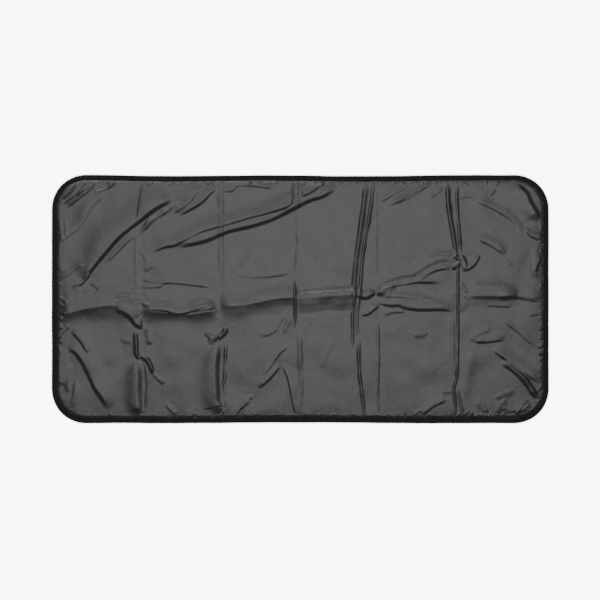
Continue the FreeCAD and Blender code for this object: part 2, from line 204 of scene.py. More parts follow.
# --- Fabric creases -----------------------------------------------------------------------------
# Each crease: height, steep flank, gentle flank, in millimetres, then which side of its line the
# steep flank faces (1 is left of its direction), then its line, in millimetres. A crease with a
# gentle flank as narrow as its steep one is a thin ridge, and one with a negative height a groove.
# A last word changes the steep flank: a tail eases out at its foot, and a roll is full at its crest.
FOLDS = [
    # upper left: the long deep fold and its companions
    (5.8, 16, 60, -1, [(-800, 66), (-760, 122), (-677, 220), (-595, 286), (-550, 324), (-458, 376)]),
    (2.6, 8, 12, -1, [(-842, 42), (-815, 52), (-796, 68), (-776, 96)]),
    (2.6, 12, 15, -1, [(-602, 230), (-572, 262), (-550, 286), (-495, 322), (-438, 366)]),
    (2.8, 10, 18, -1, [(-478, 310), (-415, 352), (-385, 388), (-352, 414)]),
    (2.6, 9, 16, -1, [(-452, 306), (-372, 352), (-330, 392), (-304, 418)]),
    (1.4, 6, 12, -1, [(-720, 128), (-655, 196), (-608, 240)]),
    # upper left: the long double fold
    (3.0, 11, 34, -1, [(-558, 166), (-505, 190), (-460, 200), (-372, 245), (-280, 272),
                       (-187, 300), (-57, 338), (-12, 376)]),
    (4.2, 15, 32, -1, [(-460, 190), (-354, 214), (-261, 250), (-170, 272), (-86, 302), (-12, 342),
                       (40, 366), (85, 380), (147, 417)]),
    (2.6, 9, 18, -1, [(0, 376), (45, 398), (75, 420), (100, 436)]),
    # upper left corner
    (2.4, 5, 8, -1, [(-882, 364), (-845, 400), (-820, 436)]),
    (2.6, 5, 8, -1, [(-876, 346), (-845, 374), (-805, 402), (-775, 436)]),
    (2.4, 5, 8, -1, [(-866, 336), (-815, 376), (-780, 404), (-750, 437)]),
    (1.9, 5, 8, -1, [(-768, 392), (-712, 410), (-674, 439)]),
    (1.6, 5, 8, -1, [(-830, 380), (-800, 414), (-790, 438)]),
    (2.3, 15, 40, -1, [(-900, 196), (-858, 232), (-810, 272), (-775, 336), (-738, 372), (-703, 412)]),
    (1.2, 7, 16, -1, [(-892, 66), (-838, 105), (-795, 130)]),
    (1.4, 10, 18, 1, [(-888, 300), (-882, 250), (-880, 215)]),
    (1.0, 9, 16, 1, [(-868, 296), (-864, 250), (-868, 228)]),
    # upper left: small ones
    (2.0, 8, 14, -1, [(-302, 396), (-252, 400), (-230, 419), (-163, 417), (-92, 407)]),
    (0.8, 7, 14, -1, [(-600, 172), (-584, 158), (-568, 137)]),
    (0.8, 6, 12, -1, [(-578, 100), (-536, 122)]),
    (1.2, 6, 16, -1, [(-614, 40), (-525, 43), (-497, 58), (-400, 50), (-312, 38)]),
    (0.9, 6, 14, -1, [(-590, 70), (-550, 60), (-504, 60)]),
    (0.9, 8, 30, -1, [(-258, 92), (-180, 78), (-90, 84), (-25, 98)]),
    (0.7, 8, 18, -1, [(-232, 116), (-200, 140), (-168, 176)]),
    (1.4, 9, 12, -1, [(-782, 56), (-756, 40), (-742, 28)]),
    (1.1, 9, 22, 1, [(-850, 52), (-805, 40), (-770, 20)]),
    (1.0, 6, 16, -1, [(-690, 2), (-655, 8), (-618, 12)]),
    (1.0, 5, 9, 1, [(-616, 44), (-612, 14)]),
    # upper right
    (1.3, 5, 12, -1, [(297, 357), (355, 390), (420, 428)]),
    (1.6, 6, 12, -1, [(326, 340), (396, 379), (450, 406), (496, 428)]),
    (1.0, 5, 12, -1, [(350, 348), (420, 382), (470, 412)]),
    (0.9, 6, 12, -1, [(478, 372), (510, 390), (535, 412)]),
    (1.8, 9, 26, -1, [(638, 366), (709, 336), (760, 306), (794, 280), (819, 232)]),
    (2.3, 11, 24, -1, [(652, 224), (709, 194), (759, 162)]),
    (0.9, 6, 14, 1, [(760, 152), (791, 130)]),
    (5.0, 15, 26, 1, [(800, 436), (826, 412), (846, 390), (860, 356), (886, 316), (895, 290)]),
    (2.0, 9, 18, -1, [(830, 258), (858, 230), (902, 214)]),
    (2.6, 12, 22, -1, [(888, 208), (862, 174), (854, 104), (880, 66)]),
    (1.6, 8, 14, 1, [(900, 154), (882, 122), (874, 96)]),
    (1.0, 5, 8, 1, [(700, 388), (724, 408)]),
    (0.9, 8, 30, -1, [(560, 360), (620, 378), (660, 372)]),
    # the knot on the fifth crease, and the folds that run from it
    (3.4, 8, 14, 1, [(560, 114), (574, 130), (594, 142)]),
    (2.4, 7, 12, -1, [(566, 160), (580, 148), (596, 140)]),
    (3.4, 9, 16, 1, [(598, 168), (612, 148), (618, 128), (616, 100)]),
    (2.8, 8, 16, -1, [(616, 101), (650, 128), (670, 162)]),
    (2.4, 16, 36, -1, [(276, 26), (318, 60), (372, 78), (425, 88), (468, 116), (510, 136),
                       (550, 140), (586, 138)]),
    (1.7, 8, 20, -1, [(283, 32), (354, 48), (400, 54), (439, 60), (525, 60)]),
    (1.6, 8, 18, -1, [(439, 60), (481, 94), (520, 108), (560, 112)]),
    (1.0, 7, 16, 1, [(510, 158), (548, 176), (566, 190)]),
    # the long middle fold, left to right
    (6.4, 66, 120, -1, [(-908, -97), (-845, -83), (-780, -67), (-717, -58), (-675, -61),
                        (-640, -77), (-622, -93)], "tail"),
    (3.5, 13, 26, -1, [(-690, -42), (-660, -50), (-634, -68), (-614, -94), (-594, -106), (-578, -106)]),
    (1.8, 16, 20, -1, [(-578, -104), (-570, -135), (-567, -172)]),
    (2.0, 6, 16, -1, [(-590, -47), (-546, -42), (-497, -46), (-455, -57), (-404, -47),
                      (-362, -33), (-312, -22)]),
    (5.0, 54, 100, -1, [(-598, -74), (-540, -76), (-475, -81), (-404, -84), (-348, -76),
                        (-300, -72)], "tail"),
    (1.2, 5, 12, -1, [(-402, -48), (-360, -42), (-312, -34)]),
    (1.1, 6, 12, -1, [(-626, -7), (-590, -18), (-554, -36)]),
    (6.2, 62, 80, -1, [(-304, -59), (-227, -56), (-156, -44), (-85, -30), (0, -25)], "tail"),
    (6.3, 58, 44, -1, [(-32, -29), (45, -24), (110, -18), (160, -14), (236, -8)]),
    (3.4, 12, 22, -1, [(206, 12), (240, 2), (262, 10), (284, 28)]),
    (0.9, 8, 10, 1, [(-2, 24), (95, 28), (184, 32), (276, 25)]),
    (3.2, 15, 30, -1, [(283, 0), (300, -16), (340, -24), (362, -22), (397, -33), (450, -38),
                       (510, -38), (576, -42)], "roll"),
    (3.0, 8, 14, 1, [(279, 17), (304, 38), (354, 54)]),
    (2.2, 8, 16, -1, [(226, -64), (254, -57), (276, -40), (297, -25)]),
    (1.4, 6, 14, -1, [(315, -64), (340, -52), (389, -50)]),
    (1.2, 7, 18, -1, [(300, 4), (360, 6), (430, -2), (500, -8)]),
    (4.6, 50, 90, -1, [(606, -15), (695, -15), (810, -17)], "tail"),
    (2.5, 15, 40, -1, [(735, -2), (765, 5), (790, 5), (840, -4), (896, -8)]),
    (0.9, 24, 30, -1, [(630, 30), (700, 34), (790, 32), (880, 24)]),
    (1.0, 7, 20, -1, [(690, -26), (740, -29), (790, -30)]),
    (1.2, 6, 10, -1, [(844, -64), (870, -60), (896, -57)]),
    (1.6, 6, 12, -1, [(624, 21), (606, -2), (595, -24), (592, -50)]),
    (1.4, 6, 12, 1, [(599, 63), (614, 44), (627, 26)]),
    # lower left
    (2.4, 9, 20, -1, [(-852, -120), (-824, -150), (-806, -176), (-792, -204)]),
    (4.0, 13, 34, -1, [(-870, -184), (-841, -198), (-816, -228), (-795, -270), (-767, -327),
                       (-738, -370), (-716, -412)]),
    (2.0, 13, 20, 1, [(-846, -236), (-850, -270), (-853, -305), (-856, -350)]),
    (1.3, 12, 18, 1, [(-826, -296), (-830, -356), (-842, -406)]),
    (1.2, 6, 12, -1, [(-902, 2), (-884, -6), (-866, -18)]),
    (1.6, 7, 12, -1, [(-904, -48), (-873, -62)]),
    (1.6, 8, 14, -1, [(-888, -136), (-852, -100)]),
    (1.0, 9, 16, 1, [(-668, -142), (-640, -148), (-626, -160)]),
    (3.6, 11, 14, -1, [(-600, -214), (-585, -222), (-568, -235), (-550, -281)]),
    (1.6, 11, 14, -1, [(-552, -276), (-530, -300), (-504, -318)]),
    (1.0, 8, 14, -1, [(-504, -394), (-484, -414), (-464, -434)]),
    # second crease
    (4.0, 10, 15, -1, [(-275, -104), (-290, -124), (-312, -143)]),
    (2.4, 12, 18, 1, [(-350, -118), (-328, -134), (-304, -143)]),
    (2.4, 18, 22, -1, [(-346, -158), (-326, -164), (-306, -154)]),
    (1.2, 6, 12, -1, [(-272, -376), (-282, -402), (-292, -428)]),
    # middle of the lower row
    (0.8, 8, 16, 1, [(-36, -56), (-71, -86), (-92, -120), (-134, -138), (-162, -120)]),
    (1.0, 6, 12, -1, [(-30, -64), (-58, -96), (-64, -130)]),
    (1.3, 7, 14, 1, [(-36, -178), (-71, -199), (-106, -249), (-136, -286)]),
    (1.9, 8, 14, 1, [(-71, -248), (-113, -298), (-156, -334)]),
    (1.1, 7, 14, 1, [(-168, -358), (-206, -391), (-242, -437)]),
    (1.0, 6, 12, 1, [(-182, -380), (-222, -412)]),
    (1.9, 5, 12, -1, [(-73, -240), (-49, -292), (-35, -356), (-21, -434)]),
    (0.9, 16, 30, 1, [(134, -150), (105, -206), (88, -262)]),
    (0.9, 18, 30, 1, [(26, -86), (10, -142), (12, -270)]),
    # lower right
    (1.1, 7, 14, 1, [(418, -128), (446, -127), (475, -121)]),
    (0.9, 6, 12, 1, [(522, -338), (567, -338)]),
    (1.7, 9, 20, 1, [(546, -377), (496, -400), (453, -434)]),
    (1.0, 6, 12, 1, [(453, -414), (424, -436)]),
    (2.0, 9, 20, -1, [(640, -160), (695, -161), (760, -152)]),
    (1.3, 12, 24, -1, [(638, -164), (660, -138), (709, -118)]),
    (1.2, 16, 40, -1, [(634, -170), (620, -230), (608, -300), (600, -380)]),
    (1.0, 7, 18, -1, [(744, -78), (794, -114), (837, -150), (874, -182)]),
    (2.6, 9, 18, -1, [(709, -185), (744, -214), (794, -249), (844, -285), (888, -314)]),
    (4.4, 15, 20, -1, [(744, -235), (780, -263), (823, -299), (851, -341), (882, -371)]),
    (1.5, 8, 16, -1, [(794, -334), (752, -345), (720, -363)]),
    (2.0, 9, 16, -1, [(762, -366), (734, -391), (720, -428)]),
    (2.0, 8, 14, -1, [(844, -370), (808, -391), (787, -420)]),
    (1.5, 8, 16, 1, [(652, -373), (681, -391), (702, -420)]),
    (1.3, 7, 14, 1, [(752, -395), (801, -412)]),
    (1.3, 5, 10, -1, [(826, -394), (806, -412), (796, -430)]),
    (1.3, 5, 10, -1, [(852, -384), (832, -400), (818, -420)]),
]
# The sewn creases between columns, as the loose cloth lies over them: ridges and grooves.
SEAMS = [
    (1.9, 6, 12, 1, [(-578, 440), (-588, 370), (-593, 329), (-603, 286)]),
    (0.6, 6, 10, 1, [(-603, 280), (-606, 180), (-604, 90), (-600, 10)]),
    (3.6, 8, 16, 1, [(-607, -118), (-604, -160), (-602, -200), (-592, -224)]),
    (5.2, 22, 70, 1, [(-592, -222), (-594, -285), (-597, -356), (-593, -440)]),
    (1.5, 6, 9, -1, [(-578, -234), (-571, -300), (-572, -360), (-583, -430)]),
    (-1.0, 5, 5, 1, [(-299, 440), (-300, 300), (-298, 150), (-296, 40)]),
    (0.7, 7, 14, -1, [(-284, 440), (-286, 250), (-284, 40)]),
    (4.8, 19, 70, 1, [(-298, -155), (-309, -285), (-305, -370), (-291, -395), (-299, -440)]),
    (2.0, 7, 10, -1, [(-280, -155), (-284, -285), (-288, -315), (-282, -360)]),
    (1.6, 5, 9, 1, [(-27, 440), (-24, 400), (-34, 345)]),
    (1.2, 5, 9, -1, [(-6, 440), (-8, 380), (-14, 330)]),
    (-1.2, 4, 4, 1, [(-14, 330), (-10, 240), (-14, 150), (-20, 80)]),
    (2.4, 5, 9, 1, [(-20, 84), (-17, 20), (-16, -50), (-18, -108)]),
    (1.7, 12, 14, -1, [(-8, -120), (-6, -240), (-4, -360), (-12, -438)]),
    (3.2, 15, 12, 1, [(251, 440), (243, 360), (233, 286), (220, 190), (212, 130), (204, 40), (201, 4)]),
    (2.2, 6, 12, -1, [(269, 440), (259, 360), (248, 286), (230, 187), (220, 74), (213, 4)]),
    (2.2, 6, 10, 1, [(212, 60), (202, -22), (198, -72), (198, -186)]),
    (1.4, 6, 10, -1, [(222, 40), (210, -24), (206, -90), (208, -138)]),
    (2.4, 6, 12, 1, [(222, -138), (222, -249), (230, -327), (244, -436)]),
    (1.5, 7, 9, -1, [(283, -70), (286, -214), (283, -356), (290, -438)]),
    (-0.6, 6, 6, 1, [(292, 440), (293, 300), (292, 150), (292, 60)]),
    (3.1, 13, 11, 1, [(549, 440), (552, 400), (556, 343), (565, 280), (574, 230), (588, 146)]),
    (2.2, 6, 11, -1, [(581, 440), (577, 390), (578, 343), (586, 230), (592, 160)]),
    (2.8, 5, 10, 1, [(588, 140), (588, 70), (588, -71), (587, -214), (585, -285), (574, -327),
                     (578, -384), (578, -438)]),
    (1.5, 14, 14, 1, [(570, -57), (573, -142), (577, -290)]),
    (1.8, 6, 10, -1, [(578, -327), (592, -400), (600, -424), (612, -438)]),
    (1.4, 5, 9, 1, [(632, -416), (603, -438)]),
]


def spline(points):
    """Points, in metres, every step or so along a smooth line through the given ones."""
    p = np.array(points, float) * MM
    p = np.vstack([2 * p[0] - p[1], p, 2 * p[-1] - p[-2]])
    out = []
    for a, b, c, d in zip(p, p[1:], p[2:], p[3:]):
        n = max(2, int(np.linalg.norm(c - b) / (SPLINE_STEP * MM)))
        t = np.arange(n)[:, None] / n
        out.append(0.5 * (2 * b + (c - a) * t + (2 * a - 5 * b + 4 * c - d) * t ** 2
                          + (3 * b - a - 3 * c + d) * t ** 3))
    return np.vstack(out + [p[-2:-1]])


def nearest_on_line(x, y, line):
    """For each point: where along the line it is nearest, in points, how far to the left of the
    line it lies, and how far past the line's ends."""
    best = np.full(x.shape, 1e9)
    where, across, past = np.zeros(x.shape), np.zeros(x.shape), np.zeros(x.shape)
    for n, (a, b) in enumerate(zip(line, line[1:])):
        tx, ty = b - a
        length = math.hypot(tx, ty)
        tx, ty = tx / length, ty / length
        along = ((x - a[0]) * tx + (y - a[1]) * ty) / length
        held = np.clip(along, 0, 1)
        ox, oy = x - a[0] - held * tx * length, y - a[1] - held * ty * length
        d = np.hypot(ox, oy)
        near = d < best
        best[near] = d[near]
        where[near] = n + held[near]
        side = tx * (y - a[1]) - ty * (x - a[0])
        across[near] = (np.sign(side) * d)[near]
        before = -along if n == 0 else np.zeros_like(along)
        after = along - 1 if n == len(line) - 2 else np.zeros_like(along)
        past[near] = (np.maximum(np.maximum(before, after), 0) * length)[near]
    return where, across, past


def add_fold(height, gx, gy, fold, widen=True):
    """Adds one crease to the height of a grid whose lines are gx and gy. A widened one falls away
    on its gentle side too slowly for that side to show."""
    tall, steep, gentle, side, points, *tail = fold
    line = spline(points)
    run = len(line) * SPLINE_STEP
    if widen and gentle > 1.7 * steep:
        gentle = min(max(gentle, 22 * tall), 120, max(gentle, 0.5 * run))
    wide = int(np.clip(max(steep, gentle) / 5, 5, 13)) * 2 + 1
    wobble = rng.normal(size=len(line) + 2 * wide)
    kernel = np.hanning(wide + 2)
    wobble = np.convolve(wobble, kernel / np.sqrt((kernel ** 2).sum()), "same")[wide:-wide]
    reach = (max(steep, gentle) * 1.2 + 4) * MM
    i0, i1 = np.searchsorted(gx, [line[:, 0].min() - reach, line[:, 0].max() + reach])
    j0, j1 = np.searchsorted(gy, [line[:, 1].min() - reach, line[:, 1].max() + reach])
    if i1 - i0 < 2 or j1 - j0 < 2:
        return
    x, y = np.meshgrid(gx[i0:i1], gy[j0:j1])
    where, across, past = nearest_on_line(x, y, line)
    across *= side
    share = where / (len(line) - 1)
    to_end = np.minimum(share, 1 - share) * run
    from_crest = np.maximum(np.abs(across) / MM - steep, 0)
    taper = smooth(to_end / (min(0.22 * run, 60 if steep < 24 else 44) + 1.1 * from_crest)) ** 0.7
    turn = np.interp(where, np.arange(len(line)), wobble) * min(1, 24 / steep)
    near = np.exp(-(across / (14 * MM)) ** 2)
    taper = taper * (1 + 0.16 * turn * near)
    shift = across + steep / 2 * MM + 0.5 * MM * turn
    width = steep * MM * (1 + 0.12 * turn)
    t = np.clip(shift / width, 0, 1)
    if not tail:
        down = 1 - (0.3 * smooth(t) + 0.7 * t)
    else:
        down = (1 - t) ** 2.1 if tail[0] == "tail" else 1 - t ** 2.2
    up = 1 - smooth(-shift / (gentle * MM))
    shape = np.where(shift > 0, down, up ** 1.3)
    fade = smooth((edge_distance(x, y) - 17 * MM) / (max(13, 8 * tall) * MM))
    height[j0:j1, i0:i1] += tall * MM * shape * taper * np.clip(1 - past / (6 * MM), 0, 1) * fade


def band_noise(shape, low, high, seed):
    """Even noise whose wavelengths lie between low and high, in grid steps, with unit spread."""
    r = np.random.default_rng(seed)
    f = np.fft.rfft2(r.normal(size=shape))
    ky = np.fft.fftfreq(shape[0])[:, None]
    kx = np.fft.rfftfreq(shape[1])[None, :]
    k = np.hypot(kx, ky) + 1e-9
    keep = np.exp(-(k * low) ** 2) * (1 - np.exp(-(k * high) ** 2))
    n = np.fft.irfft2(f * keep, s=shape)
    return n / n.std()


def grid_lines(breaks, step):
    """Grid lines with one on each break, about step apart."""
    lines = [breaks[0]]
    for a, b in zip(breaks, breaks[1:]):
        n = max(1, round((b - a) / step))
        lines += list(a + (b - a) * np.arange(1, n + 1) / n)
    return np.array(lines)


X_BREAKS = [-HALF_X] + [c + s * BAND_X for c in CREASES for s in (-1, 0, 1)] + [HALF_X]
Y_BREAKS = [-HALF_Y, -BAND_Y, 0.0, BAND_Y, HALF_Y]
gx, gy = grid_lines(X_BREAKS, GRID), grid_lines(Y_BREAKS, GRID)
X, Y = np.meshgrid(gx, gy)
EDGE = edge_distance(X, Y)


def outline_run(x, y):
    """Rough distance along the outline, for what repeats along the edge."""
    at_end = np.abs(x) / HALF_X > np.abs(y) / HALF_Y
    return np.where(at_end, (y + 3.1) * np.sign(x), x * np.sign(y))


def base_height():
    """Padded panels, the shallow dips at the creases, and the fall to the tape."""
    off_x = np.full(X.shape, 1e9)
    for column in range(1, COLUMNS + 1):
        cx = panel_centre("upper", column)[0]
        off_x = np.minimum(off_x, np.abs(X - cx) - LAMINATE_X / 2)
    off_y = np.abs(np.abs(Y) - abs(panel_centre("upper", 1)[1])) - LAMINATE_Y / 2
    off = np.hypot(np.maximum(off_x, 0), np.maximum(off_y, 0))
    inner = (X > gx[0] + 0.07) & (X < gx[-1] - 0.07) & (np.abs(Y) < HALF_Y - 0.06)
    dip = np.where(inner, 0.4 * MM, 0.5 * MM)
    dip_width = np.where(inner, 17 * MM, 45 * MM)
    pad = PAD_TOP - dip * smooth(off / dip_width)
    crown = PAD_CROWN * np.clip(-off_x / 0.13, 0, 1) ** 0.7 * np.clip(-off_y / 0.19, 0, 1) ** 0.7
    return pad + crown


def puckers():
    """Small gathers where the tape's stitching holds the cloth."""
    run = outline_run(X, Y)
    total = np.zeros(X.shape)
    size = 4096
    for n, (wave, amount, depth) in enumerate([(17, 0.55, 9), (31, 0.6, 15), (9, 0.28, 6)]):
        table = np.random.default_rng(40 + n).normal(size=size)
        u = run / (wave * MM) * 2 + 1500
        i = np.floor(u).astype(int)
        f = smooth(u - i)
        ripple = table[i % size] * (1 - f) + table[(i + 1) % size] * f
        total += amount * MM * (0.35 - np.abs(ripple)) * np.exp(-np.maximum(EDGE - TAPE, 0) / (depth * MM))
    return total * smooth((EDGE - TAPE + 3 * MM) / (6 * MM))


def edge_ticks():
    """Short gathers that run in from the tape, closest together on the lower left."""
    r = np.random.default_rng(77)
    ticks = []
    x, y = HALF_X / MM - 19, HALF_Y / MM - 19
    # from, to, gap between gathers, height
    sides = [((-x, -335), (-x, -60), 11, 1.9), ((-x, -40), (-x, 60), 22, 1.2), ((-x, 90), (-x, 330), 45, 0.8),
             ((x, -320), (x, -30), 15, 1.5), ((x, 20), (x, 330), 26, 1.3), ((-770, -y), (770, -y), 34, 1.1),
             ((-560, y), (790, y), 38, 1.0), ((640, -y), (800, -y), 13, 1.6), ((-800, y), (-640, y), 18, 1.0)]
    for (ax, ay), (bx, by), gap, tall in sides:
        length = math.hypot(bx - ax, by - ay)
        nx, ny = -np.sign(ax) * (ax == bx), -np.sign(ay) * (ay == by)
        for k in range(int(length / gap)):
            share = (k + 0.5 + 0.35 * r.normal()) * gap / length
            px, py = ax + (bx - ax) * share, ay + (by - ay) * share
            long = r.uniform(9, 24)
            lean = r.normal() * 0.55
            qx, qy = px + long * (nx + ny * lean), py + long * (ny + nx * lean)
            form = (tall * r.uniform(0.5, 1.3), r.uniform(4.5, 7), r.uniform(6, 9))
            side = 1 if r.random() < 0.5 else -1
            middle = ((px + qx) / 2 + r.normal(), (py + qy) / 2 + r.normal())
            ticks.append((*form, side, [(px, py), middle, (qx, qy)]))
    return ticks


def slack_height():
    """Rise and fall of the back cloth between the seams that hold it. A cloth simulation blows up a
    coarse sheet that is slightly larger than its place, and a share of what it gives is used."""
    cx = grid_lines([-HALF_X, *CREASES, HALF_X], SLACK_GRID)
    cy = grid_lines([-HALF_Y, 0.0, HALF_Y], SLACK_GRID)
    x, y = np.meshgrid(cx, cy)
    z = 0.15 * MM * np.random.default_rng(5).normal(size=x.shape)
    points = np.stack([x, y, z], -1).reshape(-1, 3)
    quads = grid_quads(np.full(x.shape, True))
    sheet = make_object("slack_sheet", points.tolist(), quads.tolist(), [])
    from_seam = np.minimum(np.abs(y), edge_distance(x, y) - TAPE)
    for c in CREASES:
        from_seam = np.minimum(from_seam, np.abs(x - c))
    pinned = sheet.vertex_groups.new(name="pinned")
    pinned.add(np.flatnonzero(from_seam < 1 * MM).tolist(), 1.0, "REPLACE")
    cloth = sheet.modifiers.new("cloth", "CLOTH")
    cloth.collision_settings.use_collision = False
    settings = cloth.settings
    settings.vertex_group_mass = "pinned"
    settings.quality = 6
    settings.mass = 0.3
    settings.tension_stiffness = settings.compression_stiffness = 30
    settings.shear_stiffness = 10
    settings.bending_stiffness = 8
    settings.tension_damping = settings.compression_damping = settings.shear_damping = 25
    settings.air_damping = 5
    settings.shrink_min = -0.0008
    settings.use_pressure = True
    settings.uniform_pressure_force = 0.4
    settings.effector_weights.gravity = 0
    for frame_number in range(1, SLACK_FRAMES + 1):
        bpy.context.scene.frame_set(frame_number)
    settled = sheet.evaluated_get(bpy.context.evaluated_depsgraph_get()).data
    co = np.zeros(3 * x.size)
    settled.vertices.foreach_get("co", co)
    rise = np.clip(co.reshape(*x.shape, 3)[..., 2], -SLACK_CAP, SLACK_CAP)
    mesh = sheet.data
    bpy.data.objects.remove(sheet)
    bpy.data.meshes.remove(mesh)
    bpy.context.scene.frame_set(1)
    fine = np.array([np.interp(gx, cx, line) for line in rise])
    fine = np.array([np.interp(gy, cy, line) for line in fine.T]).T
    kernel = np.hanning(13)
    kernel /= kernel.sum()
    for axis in (0, 1):
        fine = np.apply_along_axis(np.convolve, axis, fine, kernel, "same")
    return SLACK_SHARE * fine


def fabric_height():
    """Height of the back cloth over the whole grid."""
    h = base_height()
    h += slack_height()
    for fold in FOLDS:
        add_fold(h, gx, gy, fold)
    for fold in SEAMS:
        add_fold(h, gx, gy, fold, widen=False)
    scale = 3 * MM / GRID
    for seed, (tall, low, high) in enumerate([(0.26, 34, 110), (0.026, 7, 18), (0.007, 2.4, 6)], start=1):
        h += tall * MM * band_noise(X.shape, low * scale, high * scale, seed)
    for fold in edge_ticks():
        add_fold(h, gx, gy, fold)
    h += puckers()
    (x0, y0, _), (x1, y1, top) = POCKET_LOW, POCKET_HIGH
    off = np.maximum(np.maximum(x0 - X, X - x1), np.maximum(y0 - Y, Y - y1))
    on_pocket = 1 - smooth(off / (16 * MM))
    h = np.maximum(h, (top + 0.35 * MM) * on_pocket + h * (1 - on_pocket))
    over = np.maximum(h - FREE_RISE, 0)
    h += RISE_LEFT * (1 - np.exp(-over / RISE_LEFT)) - over
    under_tape = np.clip((EDGE - TAPE + 0.8 * MM) / (8 * MM), 0, 1) ** 0.9
    h = (WEB_TOP + 0.1 * MM) * (1 - under_tape) + h * under_tape
    return h


H = fabric_height()


# --- Materials ----------------------------------------------------------------------------------
def new_material(name):
    """A new material, its nodes and its shader."""
    m = bpy.data.materials.new(name)
    m.use_nodes = True
    return m, m.node_tree, m.node_tree.nodes["Principled BSDF"]


def node(tree, kind, **values):
    """A new node, with values for its inputs or its own settings."""
    n = tree.nodes.new(kind)
    for key, value in values.items():
        if key in n.inputs:
            n.inputs[key].default_value = value
        else:
            setattr(n, key, value)
    return n


def link(tree, a, b):
    tree.links.new(a, b)


def math_node(tree, operation, a, b=None):
    """What an operation gives for a and b, each a number or another node's output."""
    n = tree.nodes.new("ShaderNodeMath")
    n.operation = operation
    for socket, value in zip(n.inputs, (a, b)):
        if value is None:
            continue
        if isinstance(value, (int, float)):
            socket.default_value = value
        else:
            link(tree, value, socket)
    return n.outputs[0]


def plus(tree, a, b):
    return math_node(tree, "ADD", a, b)


def times(tree, a, b):
    return math_node(tree, "MULTIPLY", a, b)


def ramp(tree, fac, stops):
    """A colour ramp through stops of a place and a grey or a colour."""
    n = tree.nodes.new("ShaderNodeValToRGB")
    while len(n.color_ramp.elements) < len(stops):
        n.color_ramp.elements.new(0.5)
    for e, (at, value) in zip(n.color_ramp.elements, stops):
        e.position = at
        e.color = (value, value, value, 1) if isinstance(value, (int, float)) else (*value, 1)
    link(tree, fac, n.inputs[0])
    return n.outputs[0]


def place(tree):
    """Where a point is, in its object's own coordinates."""
    coords = tree.nodes.get("Texture Coordinate") or node(tree, "ShaderNodeTexCoord")
    return coords.outputs["Object"]


def texture(tree, kind, **values):
    """What a noise, wave or Voronoi texture gives in the object's own coordinates."""
    n = node(tree, f"ShaderNodeTex{kind}", **values)
    link(tree, place(tree), n.inputs["Vector"])
    return n.outputs["Distance" if kind == "Voronoi" else "Fac"]


def threads(tree, scale, distortion):
    """The two thread directions of a plain weave."""
    return [texture(tree, "Wave", Scale=scale, Distortion=distortion, bands_direction=way) for way in "XY"]


def colour_by(tree, bsdf, fac, *stops):
    link(tree, ramp(tree, fac, stops), bsdf.inputs["Base Color"])


def set_shader(bsdf, **values):
    """Sets the shader's own sockets; an underscore in a name stands for a space."""
    for name, value in values.items():
        bsdf.inputs[name.replace("_", " ")].default_value = value


def bump_by(tree, bsdf, *layers):
    """Bumps the surface by (height, strength, distance) layers, each over the one before it."""
    below = None
    for height, strength, distance in layers:
        bump = node(tree, "ShaderNodeBump", Strength=strength, Distance=distance)
        link(tree, height, bump.inputs["Height"])
        if below is not None:
            link(tree, below, bump.inputs["Normal"])
        below = bump.outputs[0]
    link(tree, below, bsdf.inputs["Normal"])


def nylon_material():
    """Dark grey coated nylon: a fine plain weave, faint crinkles and a soft shine."""
    m, t, bsdf = new_material("grey_nylon")
    large = texture(t, "Noise", Scale=5.0, Detail=3.0, Roughness=0.55)
    crinkle = texture(t, "Noise", Scale=70.0, Detail=5.0, Roughness=0.6, Distortion=0.6)
    colour_by(t, bsdf, large, (0.3, (0.0165, 0.0165, 0.0171)), (0.7, (0.0215, 0.0215, 0.0220)))
    link(t, ramp(t, crinkle, [(0.3, 0.27), (0.7, 0.32)]), bsdf.inputs["Roughness"])
    set_shader(bsdf, Specular_IOR_Level=0.64, Sheen_Weight=0.04, Sheen_Roughness=0.4)
    bump_by(t, bsdf, (plus(t, *threads(t, 350.0, 0.25)), 0.10, 0.0002), (crinkle, 0.12, 0.0010))
    return m


def canvas_material():
    """Black polyester canvas of the cell side."""
    m, t, bsdf = new_material("black_canvas")
    spots = texture(t, "Noise", Scale=24.0, Detail=6.0, Roughness=0.65)
    weave = times(t, *threads(t, 190.0, 0.5))
    mixed = plus(t, times(t, weave, 0.5), times(t, spots, 0.5))
    colour_by(t, bsdf, mixed, (0.15, (0.010, 0.010, 0.011)), (0.75, (0.026, 0.026, 0.028)))
    set_shader(bsdf, Roughness=0.78, Sheen_Weight=0.15)
    bump_by(t, bsdf, (weave, 0.35, 0.0004))
    return m


def tape_material():
    """Black woven tape, with ribs across it and fainter ribs along it."""
    m, t, bsdf = new_material("black_woven_tape")
    split = node(t, "ShaderNodeSeparateXYZ")
    link(t, node(t, "ShaderNodeUVMap", uv_map="tape").outputs[0], split.inputs[0])
    ribs = math_node(t, "SINE", times(t, split.outputs[0], 2 * math.pi / (1.3 * MM)))
    cross = math_node(t, "SINE", times(t, split.outputs[1], 2 * math.pi / (1.6 * MM)))
    grain = plus(t, times(t, ribs, 0.35), times(t, cross, 0.15))
    spots = texture(t, "Noise", Scale=60.0, Detail=5.0)
    tone = plus(t, plus(t, grain, 0.5), times(t, spots, 0.4))
    colour_by(t, bsdf, tone, (0.2, (0.0050, 0.0050, 0.0054)), (1.0, (0.0125, 0.0125, 0.0130)))
    set_shader(bsdf, Roughness=0.72, Specular_IOR_Level=0.22, Sheen_Weight=0.03)
    bump_by(t, bsdf, (grain, 0.5, 0.0005))
    return m


